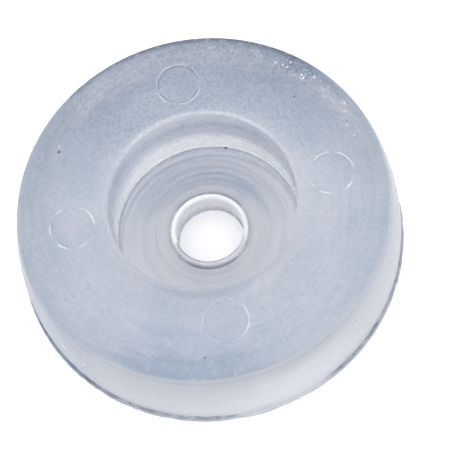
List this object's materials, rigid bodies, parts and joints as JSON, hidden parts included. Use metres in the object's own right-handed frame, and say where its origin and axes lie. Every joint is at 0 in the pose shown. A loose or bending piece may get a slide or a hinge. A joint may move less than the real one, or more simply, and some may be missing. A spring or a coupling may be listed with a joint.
{
  "type": "bumper pad",
  "caption": "Round screw-on bumper pad in milky clear soft plastic: low disc, rounded top edge, thin foot rim, deep counterbore for the screw head and a raised lip round the screw hole.",
  "frame": {"origin": "middle of the flat back face, on the screw's axis", "axes": "+Z along the screw hole's axis, out of the counterbore's mouth; +X through the middle of one of the round ejector pads on the face, +Y through the next"},
  "size_m": [0.0254, 0.0254, 0.0067],
  "materials": {
    "clear_soft_plastic": "milky clear soft plastic, satin skin, fine turning marks on the counterbore's floor"
  },
  "bodies": {
    "root": {"bumper_pad": "clear_soft_plastic"}
  },
  "joints": []
}
